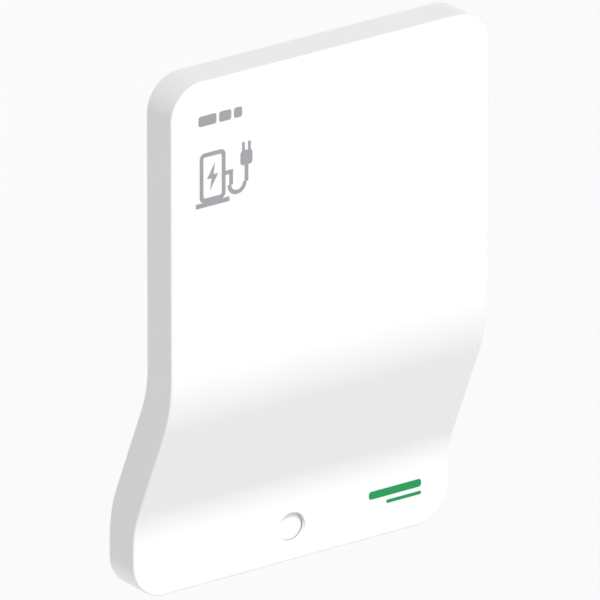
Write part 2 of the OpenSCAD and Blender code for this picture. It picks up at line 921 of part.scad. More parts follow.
terminal_x = -52;
terminal_z = [body_bottom + 26, body_bottom + 62];
terminal_pitch = 12;
terminals = 5;
module terminal_block() {
  front = back_wall + 26;
  color("#c9ccd0")
    difference() {
      block([terminal_x, terminal_x + terminals * terminal_pitch], [back_wall, front], terminal_z);
      for (k = [0 : terminals - 1])
        for (z = [terminal_z[0] + 8, terminal_z[1] - 8])
          rod_out(terminal_x + (k + 0.5) * terminal_pitch, z, [front - 9, front + 1], 3);
    }
  color(steel)
    for (k = [0 : terminals - 1])
      for (z = [terminal_z[0] + 8, terminal_z[1] - 8])
        rod_out(terminal_x + (k + 0.5) * terminal_pitch, z, [front - 9, front - 5], 2.8);
}

module earth_bar() {
  bar_x = [28, 80];
  bar_z = body_bottom + 56;
  bar_d = back_wall + 10;
  color(brass)
    difference() {
      block(bar_x, [bar_d, bar_d + 8], [bar_z - 5, bar_z + 5]);
      for (x = [bar_x[0] + 14, bar_x[0] + 26, bar_x[0] + 38])
        rod_up(x, bar_d + 3, [bar_z - 6, bar_z + 6], 2);
    }
  color(dark_grey)
    for (x = [bar_x[0] + 5, bar_x[1] - 5])
      rod_out(x, bar_z, [back_wall, bar_d], 4.5);
  color(steel)
    for (x = [bar_x[0] + 5, bar_x[1] - 5])
      rod_out(x, bar_z, [bar_d + 8, bar_d + 10.5], 3.5);
}

// ---------- cable entry ----------

module gland_body() {
  color(dark_grey)
    difference() {
      union() {
        rod_up(gland_x, gland_d, [body_bottom - 12, body_bottom + body_wall + locknut_t + 2], gland_r);
        translate([gland_x, -gland_d, body_bottom - 6]) linear_extrude(6) hexagon(2 * gland_hex);
      }
      rod_up(gland_x, gland_d, [body_bottom - 13, body_bottom + 20], gland_r - 2.6);
    }
}

module gland_locknut() {
  z0 = body_bottom + body_wall;
  color(dark_grey)
    difference() {
      translate([gland_x, -gland_d, z0]) linear_extrude(locknut_t) hexagon(2 * gland_hex);
      rod_up(gland_x, gland_d, [z0 - 1, z0 + locknut_t + 1], gland_r + seat_fit);
    }
}

module gland_seal() {
  color("#1b1c1e")
    difference() {
      rod_up(gland_x, gland_d, [body_bottom - 18, body_bottom - 2], gland_r - 2.6 - seat_fit);
      rod_up(gland_x, gland_d, [body_bottom - 19, body_bottom - 1], cable_r);
    }
}

module gland_dome() {
  z1 = body_bottom - 6 - 0.5;
  color(dark_grey)
    difference() {
      union() {
        translate([gland_x, -gland_d, z1 - 10]) linear_extrude(10) hexagon(2 * gland_hex);
        translate([gland_x, -gland_d, z1 - 15]) cylinder(h = 5, r1 = gland_hex - 3, r2 = gland_hex - 0.3);
      }
      rod_up(gland_x, gland_d, [body_bottom - 12.4, z1 + 1], gland_r + seat_fit);
      rod_up(gland_x, gland_d, [body_bottom - 18.4, body_bottom - 12.3], gland_r - 2.6);
      rod_up(gland_x, gland_d, [z1 - 16, z1], cable_r + 1);
    }
}

module blanking_plug() {
  color(dark_grey)
    difference() {
      union() {
        rod_up(blank_x, gland_d, [body_bottom, body_bottom + body_wall + 5], gland_r);
        rod_up(blank_x, gland_d, [body_bottom - 3, body_bottom], gland_r + 2.6);
      }
      rod_up(blank_x, gland_d, [body_bottom + 1, body_bottom + 20], gland_r - 2);
    }
}

vent_d = plate_t + 12;
module vent_plug() {
  color(dark_grey)
    difference() {
      union() {
        rod_up(vent_x, vent_d, [body_bottom, body_bottom + body_wall + 5], vent_r);
        rod_up(vent_x, vent_d, [body_bottom - 3.5, body_bottom], vent_r + 2);
      }
      rod_up(vent_x, vent_d, [body_bottom - 1, body_bottom + 20], vent_r - 2);
      for (a = [0 : 60 : 300])
        translate([vent_x, -vent_d, body_bottom - 2]) rotate([0, 90, a]) cylinder(h = vent_r + 4, r = 0.8);
    }
}

// ---------- vehicle socket ----------

// Square flange with the lid's ears; the sleeve behind it is a node of its own
module socket_flange() {
  color(dark_grey)
    difference() {
      union() {
        block([flange_face - flange_t, flange_face], [socket_d - flange_w / 2, socket_d + flange_w / 2],
          [socket_z - flange_w / 2, socket_z + flange_w / 2]);
        for (end = [-1, 1])
          socket_ear(end);
      }
      rod_across(socket_d, socket_z, [flange_face - flange_t - 1, flange_face + 1], socket_r);
      for (sd = [-1, 1])
        for (sz = [-1, 1])
          rod_across(socket_d + sd * flange_screw, socket_z + sz * flange_screw,
            [flange_face - flange_t - 1, flange_face + 1], 2.2);
      rod_across_y(lid_pin_r + seat_fit);
    }
}

// Round sleeve with an inward ring at its back, which the contact carrier is fixed to
module socket_sleeve() {
  color(dark_grey)
    difference() {
      rod_across(socket_d, socket_z, [sleeve_back, flange_face - flange_t], socket_r + sleeve_wall);
      rod_across(socket_d, socket_z, [recess_floor, flange_face], socket_r);
      rod_across(socket_d, socket_z, [sleeve_back - 1, recess_floor + 1], core_r - 3);
      rod_up(actuator_x, socket_d, [socket_z + core_r, socket_z + socket_r + sleeve_wall + 1],
        lock_pin_r + run_fit);
      rod_up(side_face - 12, socket_d, [socket_z - socket_r - sleeve_wall - 1, socket_z - core_r - 2], 2);
    }
}

// Bore or pin along Y on the lid's hinge axis
module rod_across_y(r) {
  translate([lid_axis_x, -socket_d + flange_w / 2 + 1, lid_axis_z]) rotate([90, 0, 0])
    cylinder(h = flange_w + 2, r = r);
}

module socket_ear(end) {
  d_mid = socket_d + end * (flange_w / 2 - ear_t / 2);
  block([flange_face - flange_t, flange_face], [d_mid - ear_t / 2, d_mid + ear_t / 2],
    [socket_z + flange_w / 2 - 1, lid_axis_z + knuckle_r]);
  block([flange_face - 1, lid_axis_x], [d_mid - ear_t / 2, d_mid + ear_t / 2],
    [socket_z + flange_w / 2 + 0.6, lid_axis_z + knuckle_r]);
  translate([lid_axis_x, -d_mid + ear_t / 2, lid_axis_z]) rotate([90, 0, 0])
    cylinder(h = ear_t, r = knuckle_r);
}

// A hole for a contact: wide for the tube, narrower where it guides the plug's pin
module contact_hole(spot, r) {
  d = socket_d + spot[0];
  z = socket_z + spot[1];
  rod_across(d, z, [recess_floor - 1, core_front - 2], r + tube_wall + seat_fit);
  rod_across(d, z, [core_front - 3, core_front + 1], r + clear / 2);
}

// Round block with a flat top that holds the contacts in the middle of the recess
module contact_carrier() {
  flat = core_r - 5;
  color("#17181a")
    difference() {
      intersection() {
        rod_across(socket_d, socket_z, [recess_floor, core_front], core_r);
        block([recess_floor - 1, core_front + 1], [socket_d - 40, socket_d + 40],
          [socket_z - 40, socket_z + flat]);
      }
      for (spot = contact_spots)
        contact_hole(spot, contact_r);
      for (spot = pilot_spots)
        contact_hole(spot, pilot_r);
    }
}

module contact_tube(s, r) {
  difference() {
    rod_across(socket_d + s[0], socket_z + s[1], [sleeve_back - 8, core_front - 2.2], r + tube_wall);
    rod_across(socket_d + s[0], socket_z + s[1], [recess_floor + 8, core_front + 1], r);
  }
}

module socket_contacts() {
  color(brass) {
    for (s = contact_spots)
      contact_tube(s, contact_r);
    for (s = pilot_spots)
      contact_tube(s, pilot_r);
  }
}

module socket_seal() {
  color("#26282b")
    difference() {
      block([side_face, side_face + socket_seal_t],
        [socket_d - flange_w / 2 + 1, socket_d + flange_w / 2 - 1],
        [socket_z - flange_w / 2 + 1, socket_z + flange_w / 2 - 1]);
      rod_across(socket_d, socket_z, [side_face - 1, side_face + 3], socket_r + sleeve_wall + clear);
      for (sd = [-1, 1])
        for (sz = [-1, 1])
          rod_across(socket_d + sd * flange_screw, socket_z + sz * flange_screw,
            [side_face - 1, side_face + 3], 2.4);
    }
}

module socket_screws() {
  color(steel)
    for (sd = [-1, 1])
      for (sz = [-1, 1]) {
        d = socket_d + sd * flange_screw;
        z = socket_z + sz * flange_screw;
        rod_across(d, z, [side_face + 0.2, flange_face], 2);
        rod_across(d, z, [flange_face, flange_face + 0.9], 3.6);
      }
}

module socket_lid() {
  half = flange_w / 2;
  color(white_plastic)
    difference() {
      union() {
        translate([lid_in, -socket_d, socket_z]) rotate([90, 0, 90])
          linear_extrude(lid_t) rounded(flange_w, flange_w, 8);
        block([lid_in, lid_in + lid_t],
          [socket_d - half + ear_t + ear_gap + 2, socket_d + half - ear_t - ear_gap - 2],
          [socket_z + half - 9, lid_axis_z]);
        for (end = [-1, 1])
          lid_knuckle(end);
        rod_across(socket_d, socket_z, [lid_in - 3, lid_in + 1], socket_r - 3);
        block([lid_in + 1, lid_in + lid_t + 5], [socket_d - 14, socket_d + 14],
          [socket_z - half + 1, socket_z - half + 5]);
      }
      rod_across(socket_d, socket_z, [lid_in - 4, lid_in + 1], socket_r - 5);
      rod_across_y(lid_pin_r + run_fit);
      block([flange_face, lid_axis_x + knuckle_r + 1],
        [socket_d - spring_span / 2 - 1, socket_d + spring_span / 2 + 1],
        [lid_axis_z - knuckle_r - 0.8, lid_axis_z + knuckle_r + 1]);
    }
}

module lid_knuckle(end) {
  half = flange_w / 2;
  inner = spring_span / 2 + 1;
  outer = half - ear_t - ear_gap;
  translate([lid_axis_x, -(socket_d + (end > 0 ? inner : -outer)), lid_axis_z]) rotate([90, 0, 0])
    cylinder(h = outer - inner, r = knuckle_r);
}

module lid_seal() {
  color("#26282b")
    difference() {
      rod_across(socket_d, socket_z, [flange_face + 0.1, lid_in], socket_r + 3);
      rod_across(socket_d, socket_z, [flange_face - 1, lid_in + 1], socket_r + 0.5);
    }
}

module lid_hinge_pin() {
  color(steel) {
    translate([lid_axis_x, -socket_d + flange_w / 2, lid_axis_z]) rotate([90, 0, 0])
      cylinder(h = flange_w, r = lid_pin_r);
    translate([lid_axis_x, -socket_d - flange_w / 2, lid_axis_z]) rotate([90, 0, 0])
      cylinder(h = 1.2, r = lid_pin_r + 1);
  }
}

module lid_spring() {
  color(steel)
    translate([lid_axis_x, -socket_d + spring_span / 2, lid_axis_z]) rotate([90, 0, 0])
      coil(lid_pin_r + 0.9, 0.5, spring_span, 12);
}

module lock_actuator() {
  color(dark_grey)
    difference() {
      block([actuator_x - 14, actuator_x + 14], [socket_d - 13, socket_d + 13],
        [actuator_z, actuator_z + 24]);
      rod_up(actuator_x, socket_d, [actuator_z - 1, lock_tip + lock_len + 0.6], lock_pin_r + run_fit);
    }
  color(light_grey)
    block([actuator_x - 4, actuator_x + 4], [back_wall, socket_d - 13], [actuator_z + 6, actuator_z + 18]);
}

module lock_pin() {
  color(steel) rod_up(actuator_x, socket_d, [lock_tip, lock_tip + lock_len], lock_pin_r);
}

// ---------- wires ----------

wire_r = 1.6;
module supply_wires() {
  for (k = [0 : 1]) {
    tx = terminal_x + (k + 0.5) * terminal_pitch;
    bx = device_x + breaker_w / 2 + (k == 0 ? -1 : 1) * breaker_w / 4;
    top = terminal_z[1] + 0.3;
    color(k == 0 ? "#7a4a2a" : "#2a63b8")
      sweep([
        [tx, -18, top],
        [tx, -18, top + 8],
        [tx + 1, -26, top + 18],
        [tx + 2, -46, top + 34],
        [tx + 2, -52, top + 60],
        [(tx + bx) / 2, -52, -40],
        [bx, -58, 0],
        [bx, -74, rail_z - device_h / 2 - 30],
        [bx, -80, rail_z - device_h / 2 - 12],
        [bx, -80, rail_z - device_h / 2 - 0.3]
      ], wire_r);
  }
}

module socket_wires() {
  for (k = [0 : 1]) {
    cx = contactor_x + contactor_w / 2 + (k == 0 ? -1 : 1) * contactor_w / 4;
    s = contact_spots[1 + k];
    end_d = socket_d + s[0];
    end_z = socket_z + s[1];
    color(k == 0 ? "#7a4a2a" : "#2a63b8")
      sweep([
        [cx, -80, rail_z - device_h / 2 - 0.3],
        [cx, -80, rail_z - device_h / 2 - 8],
        [cx + 4, -76, socket_z + 24],
        [cx + 14, -(80 + end_d) / 2, socket_z + 8],
        [30 - 4 * k, -end_d, end_z],
        [sleeve_back - 8.3, -end_d, end_z]
      ], wire_r);
  }
}

module button_wires() {
  for (k = [0 : 1]) {
    x = k == 0 ? -6 : 6;
    far = 14 + 5 * k;
    color("#44484e")
      sweep([
        [x, -(collar_back - 17.6), button_z],
        [x + 1, -(collar_back - 20), button_z],
        [(x + far) / 2, -(collar_back - 22), button_z + 1],
        [far, -(collar_back - 20), button_z + 8],
        [far, -(collar_back - 14), button_z + 24],
        [far, -46, button_z + 60],
        [far - 4, -46, button_z + 100],
        [far - 6, -(board_d + board_t + 10), board_z[0] - 6],
        [far - 6, -(board_d + board_t + 3), board_z[0] + 2],
        [far - 6, -(board_d + board_t + 1.1), board_z[0] + 12]
      ], 0.9);
  }
}

// ---------- assembly ----------

front_cover();
cover_sides();
cover_ends();
cover_ribs();
cover_lugs();
cover_icon();
cover_label_bars();
corner_badge();
hinge_pins();
hinge_brackets();
cover_screw();
cover_nut();
latch_tab();
rear_housing();
housing_seal();
inner_cover();
inner_cover_screws();
wall_plate();
housing_screws();
button_cap();
button_collar();
collar_clip();
button_spring();
button_switch();
din_rail();
rail_posts();
breaker_body();
breaker_lever();
breaker_test_button();
contactor();
energy_meter();
meter_window();
control_board();
board_posts();
board_components();
power_supply();
terminal_block();
earth_bar();
gland_body();
gland_locknut();
gland_seal();
gland_dome();
blanking_plug();
vent_plug();
socket_flange();
socket_sleeve();
contact_carrier();
socket_contacts();
socket_seal();
socket_screws();
socket_lid();
lid_seal();
lid_hinge_pin();
lid_spring();
lock_actuator();
lock_pin();
supply_wires();
socket_wires();
button_wires();
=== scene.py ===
import json
from math import cos, pi, radians, sin

import bmesh
import bpy
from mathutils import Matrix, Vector


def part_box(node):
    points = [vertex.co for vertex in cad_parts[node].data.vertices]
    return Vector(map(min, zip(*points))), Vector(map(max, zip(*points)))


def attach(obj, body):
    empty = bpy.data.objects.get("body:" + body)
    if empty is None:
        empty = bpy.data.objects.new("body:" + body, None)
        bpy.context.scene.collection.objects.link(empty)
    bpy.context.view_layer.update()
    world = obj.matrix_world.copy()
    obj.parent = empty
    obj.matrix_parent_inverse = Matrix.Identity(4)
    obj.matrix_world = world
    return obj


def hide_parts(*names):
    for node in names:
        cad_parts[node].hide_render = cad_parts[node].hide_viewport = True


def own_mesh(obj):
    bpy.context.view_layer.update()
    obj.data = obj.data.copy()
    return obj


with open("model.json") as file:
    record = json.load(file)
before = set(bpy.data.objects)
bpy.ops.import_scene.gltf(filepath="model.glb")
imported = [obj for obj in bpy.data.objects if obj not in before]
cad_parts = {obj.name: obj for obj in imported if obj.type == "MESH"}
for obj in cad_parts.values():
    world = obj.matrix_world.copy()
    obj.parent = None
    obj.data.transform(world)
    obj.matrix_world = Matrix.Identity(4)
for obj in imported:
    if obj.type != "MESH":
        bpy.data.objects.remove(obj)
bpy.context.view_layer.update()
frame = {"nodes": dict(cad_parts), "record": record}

# ---------------------------------------------------------------------------
# Wall plate. A 3 mm galvanised steel sheet, punched and screwed flat to the
# wall first; the housing then hangs on it. The zinc shows pale spangle, and
# the punched edges are painted a little brighter as a highlight.
# ---------------------------------------------------------------------------


class Value:
    """One value in a node tree; sums of values add Math nodes."""

    def __init__(self, tree, socket):
        self.tree = tree
        self.socket = socket

    def math(self, operation, *values):
        return self.tree.node("ShaderNodeMath", {"operation": operation}, dict(enumerate(values)))

    def __add__(self, other):
        return self.math("ADD", self, other)

    def __radd__(self, other):
        return self.math("ADD", other, self)

    def __sub__(self, other):
        return self.math("SUBTRACT", self, other)

    def __rsub__(self, other):
        return self.math("SUBTRACT", other, self)

    def __mul__(self, other):
        return self.math("MULTIPLY", self, other)

    def __rmul__(self, other):
        return self.math("MULTIPLY", other, self)

    def above(self, level):
        """1 where the value is over the level, 0 elsewhere."""
        return self.math("GREATER_THAN", self, level)

    def spread(self, low, high):
        """0 at low and 1 at high, held between the two."""
        return self.tree.node(
            "ShaderNodeMapRange",
            {"clamp": True},
            {"Value": self, "From Min": low, "From Max": high, "To Min": 0.0, "To Max": 1.0},
        )


class NodeTree:
    """The nodes of one finish or of the studio's air, all made by one method."""

    def __init__(self, tree):
        self.nodes = tree.nodes
        self.links = tree.links

    def node(self, kind, settings, inputs, output=0):
        """A node of any kind: its settings first, then the values or links of its sockets."""
        made = self.nodes.new(kind)
        for name, value in settings.items():
            if name == "stops":
                self.set_stops(made.color_ramp, value)
            else:
                setattr(made, name, value)
        for name, value in inputs.items():
            self.feed(made.inputs[name], value)
        return Value(self, made.outputs[output])

    def set_stops(self, ramp, stops):
        """Two places along a ramp with their colours, eased from one to the other."""
        ramp.interpolation = "EASE"
        for element, (position, colour) in zip(ramp.elements, stops):
            element.position = position
            element.color = colour

    def feed(self, socket, value):
        """A link from another node, or a plain value."""
        if isinstance(value, Value):
            self.links.new(value.socket, socket)
        else:
            socket.default_value = value


class Finish(NodeTree):
    """A material on one Principled shader, with its plain values set on the shader's own sockets."""

    def __init__(self, name, plain):
        self.material = bpy.data.materials.new(name)
        self.material.use_nodes = True
        super().__init__(self.material.node_tree)
        self.shader = self.nodes["Principled BSDF"]
        for socket, value in plain.items():
            self.shader.inputs[socket].default_value = value
        self.place = self.node("ShaderNodeTexCoord", {}, {}, "Object")

    def set(self, **values):
        """Feeds shader sockets by name, with _ for a space."""
        for name, value in values.items():
            self.feed(self.shader.inputs[name.replace("_", " ")], value)

    def noise(self, scale, detail=2.0, roughness=0.5):
        """Clouds from 0 to 1, scale per metre."""
        return self.node(
            "ShaderNodeTexNoise",
            {},
            {"Vector": self.place, "Scale": scale, "Detail": detail, "Roughness": roughness},
            "Fac",
        )

    def stretched(self, x, y, z):
        """The place with each axis scaled, for brushed and drawn surfaces."""
        return self.node(
            "ShaderNodeVectorMath", {"operation": "MULTIPLY"}, {0: self.place, 1: (x, y, z)}, "Vector"
        )

    def mix(self, share, first, second):
        """One colour blended into another."""
        return self.node("ShaderNodeMix", {"data_type": "RGBA"}, {0: share, 6: first, 7: second}, 2)

    def bump(self, height, distance):
        """A height turned into relief of that many metres."""
        sockets = {"Strength": 1.0, "Distance": distance, "Height": height}
        return self.node("ShaderNodeBump", {}, sockets, "Normal")

    def edges(self, radius):
        """1 along outer and inner edges within the radius, 0 on the faces."""
        rounded = self.node("ShaderNodeBevel", {"samples": 4}, {"Radius": radius}, "Normal")
        flat = self.node("ShaderNodeNewGeometry", {}, {}, "Normal")
        product = {"operation": "DOT_PRODUCT"}
        likeness = self.node("ShaderNodeVectorMath", product, {0: rounded, 1: flat}, "Value")
        return (1.0 - likeness).spread(0.01, 0.2)


def shade(colour, share):
    """A colour made lighter or darker by a share."""
    return tuple(min(1.0, channel * share) for channel in colour[:3]) + (1.0,)


def galvanised(name, tone):
    """Zinc-coated sheet: flat grains of different tone and gloss, and every edge painted brighter as a
    highlight.
    """
    finish = Finish(name, {"Metallic": 1.0, "Specular IOR Level": 0.5})
    cells = {"Vector": finish.place, "Scale": 160.0, "Randomness": 1.0}
    grains = finish.node("ShaderNodeTexVoronoi", {"feature": "F1"}, cells, "Color")
    grain = finish.node("ShaderNodeSeparateColor", {}, {"Color": grains}, "Red")
    haze = finish.noise(30.0, 4.0, 0.6)
    base = finish.mix(grain * 0.7 + haze * 0.3, shade(tone, 0.86), shade(tone, 1.1))
    # Painted highlight: every edge, inner ones too, is made brighter.
    painted_edge_highlight = finish.edges(0.0006)
    finish.set(
        Base_Color=finish.mix(painted_edge_highlight, base, shade(tone, 1.25)),
        Roughness=0.36 + grain * 0.16 + haze * 0.08,
        Normal=finish.bump(grain * 0.4 + finish.noise(900.0, 2.0), 0.00004),
    )
    return finish.material


body_of = {
    node: body for body, nodes in frame["record"]["behaviour"]["bodies"].items() for node in nodes
}


def seat(piece, material, *nodes):
    """Puts a new piece in the place of CAD nodes, with this finish and on their body, and hides the nodes.
    """
    piece.data.materials.clear()
    piece.data.materials.append(material)
    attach(piece, body_of[nodes[0]])
    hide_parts(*nodes)


def piece_from(name, mesh):
    """A new object with this mesh, in the scene."""
    made = bpy.data.objects.new(name, mesh)
    bpy.context.scene.collection.objects.link(made)
    return made


def softened(node, material, edge, segments=2):
    """A CAD node's shape with its sharp edges rounded over, as moulded or deburred pieces are."""
    shape = bmesh.new()
    shape.from_mesh(frame["nodes"][node].data)
    bmesh.ops.remove_doubles(shape, verts=shape.verts, dist=1e-6)
    flat_within = radians(0.4)
    rounded_over = radians(32)
    bmesh.ops.dissolve_limit(
        shape, angle_limit=flat_within, verts=shape.verts, edges=shape.edges, use_dissolve_boundaries=False
    )
    bmesh.ops.recalc_face_normals(shape, faces=shape.faces)
    for face in shape.faces:
        face.smooth = True
    mesh = bpy.data.meshes.new(node + "_soft")
    shape.to_mesh(mesh)
    shape.free()
    if "custom_normal" in mesh.attributes:
        mesh.attributes.remove(mesh.attributes["custom_normal"])
    piece = piece_from(node + "_soft", mesh)
    rounding = piece.modifiers.new("edges", "BEVEL")
    rounding.width = edge
    rounding.segments = segments
    rounding.limit_method = "ANGLE"
    rounding.angle_limit = rounded_over
    rounding.use_clamp_overlap = True
    rounding.harden_normals = True
    seat(piece, material, node)


zinc_sheet = galvanised("zinc_sheet", (0.58, 0.59, 0.60))
softened("wall_plate", zinc_sheet, 0.0003)

# ---------------------------------------------------------------------------
# Rear housing. An injection-moulded tub of pale grey polycarbonate with a
# spark-eroded grain outside, screw bosses in its corners and holes for the
# gland, the vent and the vehicle socket. It is screwed to the wall plate.
# ---------------------------------------------------------------------------


def moulded(name, colour, roughness=0.5, grain=0.00003, grain_scale=1400.0, highlight_and_rub_share=1.08):
    """Moulded plastic: fine grain, slow change of tone, random rub streaks, and every edge painted paler
    as a highlight.
    """
    finish = Finish(name, {"IOR": 1.5})
    cloud = finish.noise(14.0, 5.0, 0.6)
    speck = finish.noise(grain_scale, 3.0, 0.7)
    strokes = {"Vector": finish.stretched(40.0, 40.0, 9.0), "Scale": 6.0, "Detail": 6.0}
    rubs = finish.node("ShaderNodeTexNoise", {}, strokes, "Fac").spread(0.62, 0.8)
    base = finish.mix(cloud, shade(colour, 0.965), shade(colour, 1.02))
    # Painted highlight along every edge, inner ones too, mixed with random rub streaks that are real wear.
    base = finish.mix(finish.edges(0.0008) * 0.7 + rubs * 0.12, base, shade(colour, highlight_and_rub_share))
    finish.set(
        Base_Color=base,
        Roughness=roughness - 0.05 + cloud * 0.06 + speck * 0.06 - rubs * 0.06,
        Normal=finish.bump(speck + cloud * 0.5, grain),
    )
    return finish.material


housing_plastic = moulded("housing_plastic", (0.70, 0.71, 0.72), 0.52, 0.00005, 1100.0)
softened("rear_housing", housing_plastic, 0.0009, 3)

# ---------------------------------------------------------------------------
# Housing screws. Four M5 button-head screws of zinc-plated steel, driven
# through the housing's back wall into the wall plate.
# ---------------------------------------------------------------------------


def plated(name, tone, roughness=0.3, drawn=(1.0, 1.0, 1.0)):
    """Bright zinc-plated steel with fine turning marks, a faint warm tint in cloudy patches, and every
    edge painted brighter as a highlight.
    """
    finish = Finish(name, {"Metallic": 1.0})
    turning = {"Vector": finish.stretched(*drawn), "Scale": 1800.0, "Detail": 3.0}
    marks = finish.node("ShaderNodeTexNoise", {}, turning, "Fac")
    haze = finish.noise(260.0, 4.0, 0.6)
    warm = (tone[0] * 1.03, tone[1], tone[2] * 0.96)
    tint = finish.mix(haze, shade(tone, 0.9), shade(warm, 1.08))
    finish.set(
        # Painted highlight: every edge, inner ones too, is made brighter.
        Base_Color=finish.mix(finish.edges(0.0002), tint, shade(tone, 1.2)),
        Roughness=roughness + marks * 0.12 + haze * 0.08,
        Normal=finish.bump(marks, 0.00002),
    )
    return finish.material


plated_steel = plated("plated_steel", (0.66, 0.67, 0.69))
softened("housing_screws", plated_steel, 0.0003)

# ---------------------------------------------------------------------------
# Cable entry. An M20 gland of black polyamide: threaded body through the
# housing's floor, locknut inside, split rubber seal and dome nut outside,
# with a blanking plug in the spare hole and a membrane vent between them.
# ---------------------------------------------------------------------------


def grey(level):
    return (level, level, level, 1.0)


def rubber(name, level):
    """Black rubber: matt, with a dusty bloom and a fine skin."""
    finish = Finish(name, {"IOR": 1.52, "Specular IOR Level": 0.35})
    bloom = finish.noise(80.0, 6.0, 0.65).spread(0.4, 0.8)
    skin = finish.noise(2600.0, 2.0, 0.6)
    finish.set(
        Base_Color=finish.mix(bloom, grey(level), grey(level * 1.9)),
        Roughness=0.68 + bloom * 0.16,
        Normal=finish.bump(skin, 0.00003),
    )
    return finish.material


def dress(node, material):
    """Gives a CAD node that stays as it is its finish."""
    shown = frame["nodes"][node]
    shown.data.materials.clear()
    shown.data.materials.append(material)


black_polyamide = moulded("black_polyamide", (0.035, 0.036, 0.039), 0.46, 0.00003, 1800.0, 1.9)
seal_rubber = rubber("seal_rubber", 0.028)
for node in ("gland_body", "gland_locknut", "gland_dome", "blanking_plug", "vent_plug"):
    softened(node, black_polyamide, 0.0004)
dress("gland_seal", seal_rubber)

# ---------------------------------------------------------------------------
# Top-hat rail on two moulded posts. Rolled zinc-plated steel that carries
# the modular devices.
# ---------------------------------------------------------------------------

dress("din_rail", zinc_sheet)
dark_plastic = moulded("dark_plastic", (0.055, 0.06, 0.066), 0.5, 0.00003, 1500.0, 1.6)
dress("rail_posts", dark_plastic)

# ---------------------------------------------------------------------------
# Rail devices: residual-current breaker, contactor and energy meter, snapped
# on the rail side by side. Off-white thermoplastic boxes; the breaker has a
# blue toggle and a yellow test button, the meter a tinted window.
# ---------------------------------------------------------------------------

device_plastic = moulded("device_plastic", (0.80, 0.80, 0.775), 0.5, 0.00004, 1200.0)
for node in ("breaker_body", "contactor", "energy_meter"):
    softened(node, device_plastic, 0.0006)
toggle_blue = moulded("toggle_blue", (0.03, 0.11, 0.42), 0.36, 0.00002, 1500.0, 1.3)
test_yellow = moulded("test_yellow", (0.78, 0.47, 0.05), 0.38, 0.00002, 1500.0)
softened("breaker_lever", toggle_blue, 0.0005)
softened("breaker_test_button", test_yellow, 0.0004)


def tinted_window(name):
    """Smoked green-grey window with faint segment rows behind it and dust on its face."""
    finish = Finish(name, {"IOR": 1.49, "Coat Weight": 0.6, "Coat Roughness": 0.05})
    upright = {"Vector": finish.place, "Rotation": (pi / 2, 0, 0)}
    rows = finish.node(
        "ShaderNodeTexBrick",
        {"offset": 0.0, "squash": 1.0},
        {
            "Vector": finish.node("ShaderNodeMapping", {}, upright, "Vector"),
            "Scale": 1.0,
            "Brick Width": 0.0042,
            "Row Height": 0.0075,
            "Mortar Size": 0.0009,
        },
        "Fac",
    )
    dust = finish.noise(500.0, 4.0).spread(0.55, 0.8)
    finish.set(
        Base_Color=finish.mix(rows, (0.10, 0.13, 0.10, 1.0), (0.22, 0.27, 0.21, 1.0)),
        Roughness=0.12 + dust * 0.2,
    )
    return finish.material


dress("meter_window", tinted_window("meter_glass"))

# ---------------------------------------------------------------------------
# Control electronics. A green glass-fibre board on four posts carries
# relays, capacitors, connectors and the processor; the power supply is a
# potted black block screwed to the back wall.
# ---------------------------------------------------------------------------


def circuit_board(name):
    """Solder mask over copper tracks that run in two directions."""
    finish = Finish(name, {"IOR": 1.55, "Coat Weight": 0.4, "Coat Roughness": 0.15})
    wide = {"Vector": finish.place, "Scale": 120.0, "Distortion": 3.0}
    tall = {"Vector": finish.place, "Scale": 90.0, "Distortion": 4.0}
    across = finish.node("ShaderNodeTexWave", {"bands_direction": "X"}, wide, "Fac").spread(0.55, 0.6)
    upward = finish.node("ShaderNodeTexWave", {"bands_direction": "Z"}, tall, "Fac").spread(0.7, 0.75)
    field = finish.noise(35.0, 0.0).above(0.52)
    tracks = across * field + upward * (1.0 - field)
    finish.set(
        Base_Color=finish.mix(tracks, (0.012, 0.11, 0.035, 1.0), (0.03, 0.2, 0.06, 1.0)),
        Roughness=0.3 + finish.noise(300.0) * 0.1,
        Normal=finish.bump(tracks, 0.00003),
    )
    return finish.material


dress("control_board", circuit_board("solder_mask"))
dress("board_posts", plated_steel)
component_epoxy = moulded("component_epoxy", (0.03, 0.032, 0.036), 0.42, 0.00002, 2000.0, 1.8)
dress("board_components", component_epoxy)
dress("power_supply", dark_plastic)

# ---------------------------------------------------------------------------
# Terminals and earth bar. A five-way block of grey polyamide with steel
# screws, and a drilled brass bar on two insulating posts.
# ---------------------------------------------------------------------------

terminal_polyamide = moulded("terminal_polyamide", (0.50, 0.52, 0.54), 0.5, 0.00004, 1300.0)
softened("terminal_block", terminal_polyamide, 0.0004)
plain_brass = plated("plain_brass", (0.78, 0.58, 0.26), 0.32, (1.0, 6.0, 6.0))
softened("earth_bar", plain_brass, 0.0003)

# ---------------------------------------------------------------------------
# Wires. Stranded copper in smooth vinyl insulation, clipped inside the
# housing between terminals, breaker, contactor, socket and button.
# ---------------------------------------------------------------------------


def insulation(name, colour):
    """Vinyl insulation: satin, with small dents and slow change of tone along the wire."""
    finish = Finish(name, {"IOR": 1.53, "Sheen Weight": 0.05})
    cloud = finish.noise(60.0, 3.0)
    finish.set(
        Base_Color=finish.mix(cloud, shade(colour, 0.85), shade(colour, 1.15)),
        Roughness=0.36 + cloud * 0.14,
        Normal=finish.bump(finish.noise(900.0, 2.0), 0.00003),
    )
    return finish.material


mains_insulation = insulation("mains_insulation", (0.18, 0.075, 0.035))
dress("supply_wires", mains_insulation)
dress("socket_wires", mains_insulation)
dress("button_wires", insulation("signal_insulation", (0.07, 0.075, 0.08)))

# ---------------------------------------------------------------------------
# Vehicle socket. A black glass-filled shell with a square flange, screwed to
# the housing's right wall over a rubber seal. In its recess stands the
# contact carrier with tinned brass tubes; a motor-driven pin locks the plug.
# ---------------------------------------------------------------------------

